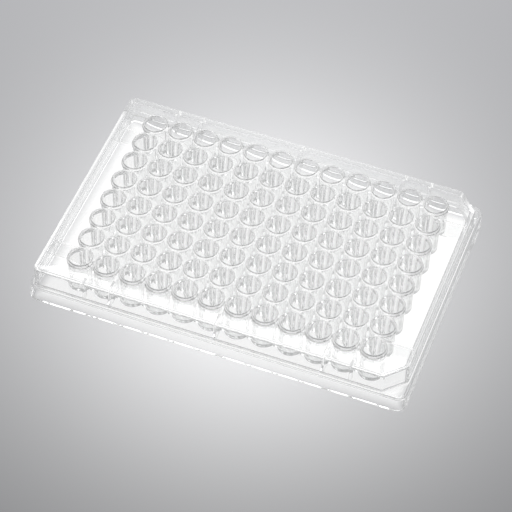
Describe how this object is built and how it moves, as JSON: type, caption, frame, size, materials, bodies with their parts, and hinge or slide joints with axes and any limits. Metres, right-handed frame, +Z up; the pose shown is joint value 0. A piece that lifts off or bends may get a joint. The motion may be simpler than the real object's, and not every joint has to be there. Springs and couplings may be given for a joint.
{
  "type": "well plate",
  "caption": "Clear plastic well plate: a grid of round flat-bottomed wells hangs from a thin deck inside a stepped rectangular skirt, cut at the corners of one end.",
  "frame": {"origin": "middle of the foot's outline, on the surface that the plate stands on", "axes": "+X along the long side towards the end with the cut corners, +Y across the plate towards its first row, +Z up out of the wells"},
  "size_m": [0.1278, 0.0854, 0.0143],
  "materials": {
    "clear_plastic": "clear, colourless, glossy moulded polystyrene"
  },
  "bodies": {
    "root": {"plate": "clear_plastic"}
  },
  "joints": []
}
